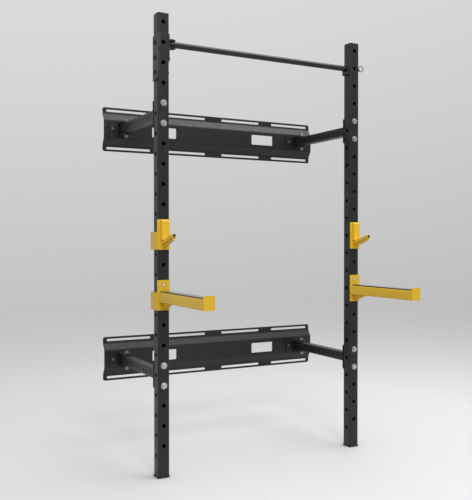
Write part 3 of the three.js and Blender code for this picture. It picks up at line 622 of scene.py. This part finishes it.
def caps(side):
    node = f"{side}_top_cap"
    low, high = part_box(node)
    centre = middle(node)
    lid_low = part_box(f"{side}_upright")[1][2] + SEAT_GAP
    lid = rounded_plate(ACROSS_Z, (centre.x, centre.y, (lid_low + high[2]) / 2), TUBE, TUBE,
                        high[2] - lid_low, TUBE_CORNER)
    plug = rounded_plate(ACROSS_Z, (centre.x, centre.y, (low[2] + lid_low) / 2), CAP_PLUG_W, CAP_PLUG_W,
                         lid_low - low[2], 0.003)
    piece(f"{side}_end_cap", node, [lid, plug], soften=0.0015, steps=3)
    node = f"{side}_foot_cap"
    low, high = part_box(node)
    shoe_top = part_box(f"{side}_upright")[0][2] - SEAT_GAP
    shoe = rounded_plate(ACROSS_Z, (centre.x, centre.y, (low[2] + shoe_top) / 2),
                         size(node).x, size(node).y, shoe_top - low[2], 0.007)
    plug = rounded_plate(ACROSS_Z, (centre.x, centre.y, (high[2] + shoe_top) / 2), CAP_PLUG_W, CAP_PLUG_W,
                         high[2] - shoe_top, 0.003)
    piece(f"{side}_foot_shoe", node, [shoe, plug], soften=0.0015, steps=3)


# ---------- arms ----------
def arm(side, level):
    node = f"{side}_{level}_arm"
    low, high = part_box(node)
    centre = middle(node)
    pivot = middle(f"{side}_{level}_pivot_nut")
    plate = form(rounded_plate(ACROSS_Y, (centre.x, low[1] + ARM_PLATE_T / 2, centre.z),
                               high[0] - low[0], high[2] - low[2], ARM_PLATE_T, PLATE_CORNER))
    bolts = [middle(f"{side}_{level}_arm_bolt_{end}") for end in ("top", "bottom")]
    drilled(plate, bolts, ARM_BORE_R, Y_AXIS, 0.1)
    start = low[1] + ARM_PLATE_T + 0.0001
    tube = form(square_tube(ACROSS_Y, (centre.x, (start + high[1]) / 2, centre.z),
                            ARM, ARM_WALL, ARM_CORNER, high[1] - start))
    back = low[1] - SEAT_GAP
    places = [(centre.x, back + ARM_FIRST_HOLE + i * ARM_HOLE_PITCH, centre.z) for i in range(ARM_HOLES)]
    drilled(tube, places, ARM_HOLE_D / 2, X_AXIS, ARM)
    drilled(tube, [(pivot.x, pivot.y, centre.z)], PIVOT_BORE_R, Z_AXIS, ARM)
    r = ARM / 2 - 0.001
    ring = [(centre.x + x * r, start + 0.0008, centre.z + z * r)
            for x, z in ((-1, -1), (1, -1), (1, 1), (-1, 1), (-1, -1))]
    piece(f"{side}_{level}_arm_tube", node, [plate, tube, seam(BEAD_R["arm"], *ring)], soften=0.0006)


# ---------- pull-up bar and its brackets ----------
def pull_up_bar():
    node = "pull_up_bar"
    low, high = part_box(node)
    centre = middle(node)
    pin = middle("bar_pivot_pin")
    bar = form(rod(BAR_D / 2, (low[0], centre.y, centre.z), (high[0], centre.y, centre.z), 64))
    bore = rod(BAR_D / 2 - BAR_WALL, (pin.x + BAR_SOLID_END, centre.y, centre.z),
               (high[0] + 0.01, centre.y, centre.z), 48)
    carve(bar, [bore])
    drilled(bar, [(pin.x, pin.y, centre.z)], 0.0063, Z_AXIS, 0.05)
    piece("pull_up_bar_tube", node, [bar], soften=0.0012)


def bar_clevis():
    node = "left_bar_clevis"
    low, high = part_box(node)
    centre = middle(node)
    bar_z = middle("pull_up_bar").z
    pin = middle("bar_pivot_pin")
    plate_t = 0.005
    width = high[1] - low[1]
    plate = form(rounded_plate(ACROSS_X, (low[0] + plate_t / 2, centre.y, centre.z), width,
                               high[2] - low[2], plate_t, width / 2 - 0.0005, 16))
    head = block((low[0], low[1], bar_z), (low[0] + plate_t, high[1], high[2]))
    carve(plate, [head], "UNION")
    bolts = [middle(f"outer_plate_bolt_{end}") for end in ("top", "middle")]
    drilled(plate, [(low[0], b.y, b.z) for b in bolts], CROSS_BORE_R, X_AXIS, 0.02)
    parts = [plate]
    ear_in, ear_t, ear_r = BAR_D / 2 + 0.002, 0.005, 0.018
    face = low[0] + plate_t
    for edge in (-1, 1):
        ear = bmesh.new()
        for z in (bar_z + edge * ear_in, bar_z + edge * (ear_in + ear_t)):
            bmesh.ops.create_circle(ear, segments=48, radius=ear_r,
                                    matrix=Matrix.Translation((pin.x, pin.y, z)))
            for side in (-1, 1):
                ear.verts.new((face - 0.001, pin.y + side * ear_r, z))
        bmesh.ops.convex_hull(ear, input=ear.verts)
        bmesh.ops.dissolve_limit(ear, angle_limit=math.radians(1), verts=ear.verts, edges=ear.edges)
        ear = drilled(form(ear), [pin], CROSS_BORE_R, Z_AXIS, 0.1)
        parts.append(ear)
        for z in (ear_in, ear_in + ear_t):
            root_z = bar_z + edge * z
            parts.append(seam(BEAD_R["ear"], (face, pin.y - 0.016, root_z), (face, pin.y + 0.016, root_z)))
    top = bar_z + ear_in + ear_t
    fin = [(face - 0.001, top - 0.001), (pin.x - 0.0125, top - 0.001), (pin.x - 0.0125, top + 0.002),
           (face + 0.001, high[2] - 0.001), (face - 0.001, high[2] - 0.001)]
    parts.append(outline_plate(Matrix.Translation((0, pin.y, 0)) @ ACROSS_Y, fin, -0.003, 0.003))
    piece("bar_clevis", node, parts, soften=0.0008)


def bar_pin():
    node = "bar_pivot_pin"
    low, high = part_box(node)
    centre = middle(node)
    head_r, head_t = BAR_PIN_HEAD
    shank = rod(BAR_PIN_R, (centre.x, centre.y, low[2]), (centre.x, centre.y, high[2] - head_t / 2), 32)
    head = rod(head_r, (centre.x, centre.y, high[2] - head_t), (centre.x, centre.y, high[2]), 40)
    piece("bar_hinge_pin", node, [shank, head], soften=0.0008, steps=3)


def outer_plate():
    node = "left_outer_plate"
    low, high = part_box(node)
    bolts = [middle(f"outer_plate_bolt_{end}") for end in ("top", "middle", "bottom")]
    face_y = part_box("left_upright")[0][1]
    lobe, waist = face_y - 0.025, face_y - 0.019
    step_z = bolts[0].z - 0.037
    neck_z = bolts[0].z - 0.118
    points = [(high[1], low[2]), (high[1], high[2]), (low[1] + 0.008, high[2]), (low[1], high[2] - 0.008),
              (low[1], step_z), (waist, step_z - 0.006)]
    for i in range(1, 12):
        swell = math.sin(math.pi * i / 12)
        points.append((waist - (waist - lobe) * swell, step_z - 0.006 + (neck_z - step_z + 0.006) * i / 12))
    points.append((waist, neck_z))
    foot = [Vector((waist, neck_z)), Vector((lobe - 0.004, neck_z - 0.028)),
            Vector((lobe, low[2] + 0.004)), Vector((middle("left_upright").y - 0.010, low[2]))]
    for i in range(1, 15):
        t = i / 14
        a, b, c, d = (1 - t) ** 3, 3 * t * (1 - t) ** 2, 3 * t * t * (1 - t), t ** 3
        points.append(tuple(foot[0] * a + foot[1] * b + foot[2] * c + foot[3] * d))
    plate = form(outline_plate(ACROSS_X, points, low[0], high[0]))
    drilled(plate, [(low[0], b.y, b.z) for b in bolts], CROSS_BORE_R, X_AXIS, 0.02)
    piece("outer_side_plate", node, [plate], soften=0.0009, finish=WARM_COAT)


def bar_saddle():
    node = "right_bar_saddle"
    low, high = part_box(node)
    centre = middle(node)
    bar_z = middle("pull_up_bar").z
    plate_t, reach = 0.005, 0.010
    plate = form(rounded_plate(ACROSS_X, (high[0] - plate_t / 2, centre.y, centre.z), 0.050,
                               high[2] - low[2], plate_t, PLATE_CORNER))
    crossing = [(high[0], centre.y, z) for z in (middle("saddle_bolt").z, bar_z)]
    drilled(plate, crossing, CROSS_BORE_R, X_AXIS, 0.02)
    cradle = form(block((low[0], low[1], bar_z - 0.036), (low[0] + reach - 0.0001, high[1], bar_z + 0.006)))
    trough = BAR_D / 2 + 0.002
    start, end = low[0] - 0.01, high[0] + 0.01
    carve(cradle, [rod(trough, (start, centre.y, bar_z), (end, centre.y, bar_z), 48),
                   block((start, centre.y - trough, bar_z), (end, centre.y + trough, bar_z + 0.02))])
    piece("bar_saddle", node, [plate, cradle], soften=0.0012)


def lathe(profile, centre, segments=40):
    """Turned part along X: profile points are (x, radius)."""
    bm = bmesh.new()
    line = [bm.verts.new((x, 0, radius)) for x, radius in profile]
    edges = [bm.edges.new(pair) for pair in zip(line, line[1:])]
    bmesh.ops.spin(bm, geom=line + edges, cent=(0, 0, 0), axis=(1, 0, 0), angle=math.tau,
                   steps=segments, use_merge=True)
    bmesh.ops.remove_doubles(bm, verts=bm.verts, dist=1e-6)
    bmesh.ops.translate(bm, vec=centre, verts=bm.verts)
    return bm


def ring_pin():
    node = "ring_pin"
    low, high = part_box(node)
    centre = middle(node)
    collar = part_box("right_upright")[1][0] + SEAT_GAP
    collar_r, collar_t = RING_COLLAR
    rim = collar + collar_t
    profile = [(low[0], 0), (low[0], 0.0045), (low[0] + 0.002, RING_PIN_R), (collar, RING_PIN_R),
               (collar, collar_r), (rim, collar_r), (rim, RING_STUB_R), (high[0] - 0.001, RING_STUB_R),
               (high[0], 0.004), (high[0], 0)]
    body = form(lathe(profile, (0, centre.y, centre.z)))
    eye = Vector((collar + RING_EYE_OUT, centre.y, centre.z))
    lean = Vector((-math.sin(RING_TILT), 0, math.cos(RING_TILT)))
    drilled(body, [eye], RING_EYE_R, lean, 0.012)
    piece("locking_pin", node, [body], soften=0.0006)
    outward = Vector((math.cos(RING_TILT), 0, math.sin(RING_TILT)))
    hub = eye + outward * RING_R
    upright_turn = Matrix.Rotation(math.pi / 2, 4, "X")
    loop = bmesh.new()
    section = bmesh.ops.create_circle(loop, segments=16, radius=RING_WIRE_R,
                                      matrix=Matrix.Translation((RING_R, 0, 0)) @ upright_turn)
    ring_edges = list({e for v in section["verts"] for e in v.link_edges})
    bmesh.ops.spin(loop, geom=section["verts"] + ring_edges, cent=(0, 0, 0), axis=(0, 0, 1),
                   angle=math.tau, steps=64, use_merge=True)
    bmesh.ops.remove_doubles(loop, verts=loop.verts, dist=1e-6)
    bmesh.ops.transform(loop, matrix=Matrix.Translation(hub) @ upright_turn, verts=loop.verts)
    piece("wire_pull_ring", "pull_ring", [loop], soften=0, finish=BLACK_OXIDE)


# ---------- yellow cups and spotter arms ----------
def clasp(side, node):
    """Front plate, bent side plate and back lip that wrap the upright; returns parts and key places."""
    low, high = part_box(node)
    up_low, up_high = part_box(f"{side}_upright")
    out = -1 if side == "left" else 1
    inner_x = up_high[0] if side == "left" else up_low[0]
    outer_x = low[0] if side == "left" else high[0]
    front_y = up_low[1] - SEAT_GAP - CLASP_T
    back_y = up_high[1] + CLASP_BACK_GAP + CLASP_T
    side_top = low[2] + CLASP_SIDE_H
    path = [(inner_x, front_y, low[2]), (outer_x, front_y, low[2]), (outer_x, back_y, low[2]),
            (outer_x - out * CLASP_LIP, back_y, low[2])]
    wrap = form(bent_sheet(path, (0, 0, CLASP_SIDE_H), CLASP_BEND, CLASP_T, -out * X_AXIS))
    plate_centre = ((inner_x + outer_x) / 2, front_y + CLASP_T / 2, (high[2] + low[2]) / 2)
    return wrap, plate_centre, front_y, side_top


def front_plate(plate_centre, width, low_z, high_z):
    centre = (plate_centre[0], plate_centre[1], (low_z + high_z) / 2)
    return rounded_plate(ACROSS_Y, centre, width, high_z - low_z, CLASP_T, 0.003, 4)


def clasp_pin(side, name, node, x, pin_z, start_y):
    """Steel pin of a clasp, from start_y to its end inside the upright."""
    bm = bmesh.new()
    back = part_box(f"{side}_upright")[0][1] + CLASP_PIN_REACH
    rod(CLASP_PIN_R, (x, start_y, pin_z), (x, back, pin_z), 32, bm)
    piece(name, node, [bm], soften=0.001, finish=PIN_ZINC, stands_for=False)


def j_cup(side):
    node = f"{side}_j_cup"
    low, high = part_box(node)
    wrap, plate_centre, front_y, side_top = clasp(side, node)
    x = middle(f"{side}_upright").x
    width = high[0] - low[0]
    carve(wrap, [front_plate(plate_centre, width, side_top - CLASP_OVERLAP, high[2])], "UNION")
    pin_z = high[2] - PIN_DROP
    pad_y = front_y - HOOK_PAD_T
    valley = pin_z - HOOK_VALLEY
    foot_y = pad_y - HOOK_FLOOR
    face_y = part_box(f"{side}_upright")[0][1]
    slope = math.atan2(HOOK_RISE, HOOK_REACH - (face_y - foot_y))
    along = Vector((-math.cos(slope), math.sin(slope)))
    down = Vector((-math.sin(slope), -math.cos(slope)))
    top = Vector((face_y - HOOK_REACH - down.x * RAMP_T, valley + HOOK_RISE))
    root = front_y + 0.001

    def on_ramp(back, below):
        return tuple(top - along * back + down * below)

    chamfer = HOOK_PAD_T / 3
    pad_top = high[2] - 0.003
    pad = outline_plate(ACROSS_X, [
        (root, pad_top), (pad_y + chamfer, pad_top), (pad_y, pad_top - chamfer), (pad_y, valley),
        (root, valley),
    ], x - HOOK_W / 2, x + HOOK_W / 2)
    underside = valley - RAMP_T / math.cos(slope) - (root - foot_y) * math.tan(slope)
    ramp = outline_plate(ACROSS_X, [
        (root, valley + 0.001), (foot_y, valley + 0.001), on_ramp(0, 0), on_ramp(0, RAMP_T),
        (root, underside),
    ], x - RAMP_W / 2, x + RAMP_W / 2)
    foot_z = low[2] + GUSSET_FOOT
    gusset = outline_plate(ACROSS_X, [
        (root, foot_z), (front_y, foot_z), on_ramp(RAMP_T / 2, RAMP_T + GUSSET_NOSE),
        on_ramp(RAMP_T / 2, RAMP_T / 2),
        (root, valley - 0.002),
    ], x - GUSSET_T / 2, x + GUSSET_T / 2)
    half = HOOK_W / 2
    bead = seam(BEAD_R["cup"], (x - half, front_y, pad_top), (x - half, front_y, valley),
                (x + half, front_y, valley), (x + half, front_y, pad_top))
    left, right = x - RAMP_W / 2, x + RAMP_W / 2
    ramp_bead = seam(BEAD_R["cup"], (left, front_y, valley - 0.002), (left, front_y, underside),
                     (right, front_y, underside), (right, front_y, valley - 0.002))
    piece(f"{side}_bar_cup", node, [wrap, pad, ramp, gusset, bead, ramp_bead], soften=0.0016, steps=3)
    clasp_pin(side, f"{side}_bar_cup_pin", node, x, pin_z, front_y + CLASP_T)
    # Black plug in the ramp's end: painted shade of the gap at the tip.
    plug_y, plug_z = on_ramp(-SEAT_GAP, RAMP_T / 2)
    plug_end = Vector((0, along.x, along.y)) * TIP_T
    plug = rod(TIP_R, (x, plug_y, plug_z), Vector((x, plug_y, plug_z)) + plug_end, 32)
    piece(f"{side}_bar_cup_tip", f"{side}_j_cup_tip", [plug], soften=0.0012, steps=3, finish=BLACK_SHADE_PLUG)


def spotter_arm(side):
    node = f"{side}_spotter_arm"
    low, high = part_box(node)
    wrap, plate_centre, front_y, side_top = clasp(side, node)
    x = middle(f"{side}_upright").x
    width = high[0] - low[0]
    plate = form(front_plate(plate_centre, width, side_top - CLASP_OVERLAP, high[2]))
    pin_z = high[2] - PIN_DROP
    drilled(plate, [(x, front_y, pin_z)], PIN_EYE_R, Y_AXIS, 0.02)
    joined = bmesh.new()
    joined.from_mesh(plate.data)
    bpy.data.objects.remove(plate)
    carve(wrap, [joined], "UNION")
    liner_low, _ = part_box(f"{side}_spotter_liner")
    top = liner_low[2] - SEAT_GAP
    tube_w, tube_h = SPOTTER_TUBE
    bottom = top - tube_h
    tube = rounded_plate(ACROSS_Y, (x, (low[1] + front_y) / 2 + 0.001, (top + bottom) / 2), tube_w, tube_h,
                         front_y - low[1] - SPOTTER_STOP_T, 0.004)
    stop_centre = (x, low[1] + SPOTTER_STOP_T / 2, bottom + SPOTTER_STOP[1] / 2)
    stop = rounded_plate(ACROSS_Y, stop_centre, *SPOTTER_STOP, SPOTTER_STOP_T, 0.004)
    nose_y, foot_z = front_y - SPOTTER_GUSSET_L, low[2] + 0.003
    gusset_line = [(front_y + 0.001, bottom + 0.001), (nose_y, bottom + 0.001), (nose_y, bottom - 0.001),
                   (front_y, foot_z), (front_y + 0.001, foot_z)]
    gusset = outline_plate(ACROSS_X, gusset_line, x - GUSSET_T / 2, x + GUSSET_T / 2)
    r = tube_w / 2 - 0.001
    root = [(x - r, front_y, bottom), (x + r, front_y, bottom), (x + r, front_y, top),
            (x - r, front_y, top), (x - r, front_y, bottom)]
    bead = seam(BEAD_R["spotter"], *root)
    piece(f"{side}_spotter", node, [wrap, tube, stop, gusset, bead], soften=0.0012)
    clasp_pin(side, f"{side}_spotter_pin", node, x, pin_z, front_y - 0.0005)
    liner_node = f"{side}_spotter_liner"
    liner_low, liner_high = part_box(liner_node)
    piece(f"{side}_spotter_rubber", liner_node, [block(liner_low, liner_high)], soften=0.0018, steps=3)


# ---------- put together ----------
for level in ("upper", "lower"):
    wall_stringer(level)
    for side in ("left", "right"):
        hinge_bracket(side, level)
        pivot_fasteners(side, level)
        arm(side, level)
        for end in ("outer", "inner"):
            # Bracket bolts take the darker zinc: painted shade.
            through_bolt(f"{side}_{level}_bracket_bolt_{end}", -Y_AXIS, BRACKET_SCREW, finish=SHADED_ZINC)
        for end in ("top", "bottom"):
            through_bolt(f"{side}_{level}_arm_bolt_{end}", -Y_AXIS, ARM_SCREW)
for side in ("left", "right"):
    upright(side)
    caps(side)
    j_cup(side)
    spotter_arm(side)
pull_up_bar()
bar_clevis()
bar_pin()
outer_plate()
for end in ("top", "middle", "bottom"):
    through_bolt(f"outer_plate_bolt_{end}", -X_AXIS, CROSS_SCREW, nut=end != "top", make=button_bolt,
                 finish=None if end == "bottom" else WARM_COAT)
bar_saddle()
through_bolt("saddle_bolt", X_AXIS, CROSS_SCREW, nut=False)
ring_pin()


# ---------- studio ----------
def floor_disc():
    """Pale floor that fades into the surroundings well away from the rack."""
    bm = bmesh.new()
    place = Matrix.Translation((0, -0.6, cad_low.z))
    bmesh.ops.create_circle(bm, cap_ends=True, segments=96, radius=14, matrix=place)
    mesh = bpy.data.meshes.new("studio_floor")
    bm.to_mesh(mesh)
    bm.free()
    floor = bpy.data.objects.new("studio_floor", mesh)
    bpy.context.collection.objects.link(floor)
    finish, nodes, links, shader = finish_nodes("pale_floor")
    shader.inputs["Base Color"].default_value = (0.70, 0.70, 0.702, 1)
    shader.inputs["Roughness"].default_value = 0.75
    floor.visible_diffuse = False
    place = nodes.new("ShaderNodeTexCoord")
    reach = nodes.new("ShaderNodeVectorMath")
    reach.operation = "LENGTH"
    links.new(place.outputs["Object"], reach.inputs[0])
    fade = spread(nodes, links, reach.outputs["Value"], 1, 0, 2.0, 10.0)
    clear = nodes.new("ShaderNodeBsdfTransparent")
    mix = nodes.new("ShaderNodeMixShader")
    links.new(fade, mix.inputs["Fac"])
    links.new(clear.outputs["BSDF"], mix.inputs[1])
    links.new(shader.outputs["BSDF"], mix.inputs[2])
    links.new(mix.outputs["Shader"], nodes["Material Output"].inputs["Surface"])
    mesh.materials.append(finish)


def surroundings():
    """Pale studio: brightest overhead and behind, dim in front."""
    world = bpy.data.worlds.new("pale_studio")
    bpy.context.scene.world = world
    world.use_nodes = True
    nodes, links = world.node_tree.nodes, world.node_tree.links
    shade = nodes["Background"]
    shade.inputs["Color"].default_value = (0.99, 0.99, 1.0, 1)
    towards = nodes.new("ShaderNodeTexCoord")
    lean = nodes.new("ShaderNodeVectorMath")
    lean.operation = "DOT_PRODUCT"
    lean.inputs[1].default_value = Vector((0.02, 0.30, 0.95)).normalized()
    links.new(towards.outputs["Generated"], lean.inputs[0])
    links.new(spread(nodes, links, lean.outputs["Value"], 0.37, 0.88, -0.2, 0.95), shade.inputs["Strength"])


def soft_light(name, place, aim, width, height, power):
    light = bpy.data.lights.new(name, "AREA")
    light.shape = "RECTANGLE"
    light.size = width
    light.size_y = height
    light.energy = power
    lamp = bpy.data.objects.new(name, light)
    lamp.location = place
    lamp.rotation_euler = (Vector(aim) - Vector(place)).to_track_quat("-Z", "Y").to_euler()
    bpy.context.collection.objects.link(lamp)


def camera():
    view = bpy.data.cameras.new("camera")
    view.lens = 52.07
    view.sensor_width = 36
    view.clip_end = 100
    eye = bpy.data.objects.new("camera", view)
    eye.location = (-1.954, -3.961, 0.560)
    eye.rotation_euler = (math.radians(89.32), 0, math.radians(-28.08))
    bpy.context.collection.objects.link(eye)
    bpy.context.scene.camera = eye


floor_disc()
surroundings()
soft_light("overhead", (1.7, -1.5, 4.3), (1.3, -1.1, 0.6), 3.6, 3.6, 125)
soft_light("front", (-1.2, -5.8, 4.0), (0, -0.7, 0.6), 1.8, 1.8, 105)
camera()
bpy.context.scene.view_settings.view_transform = "Standard"
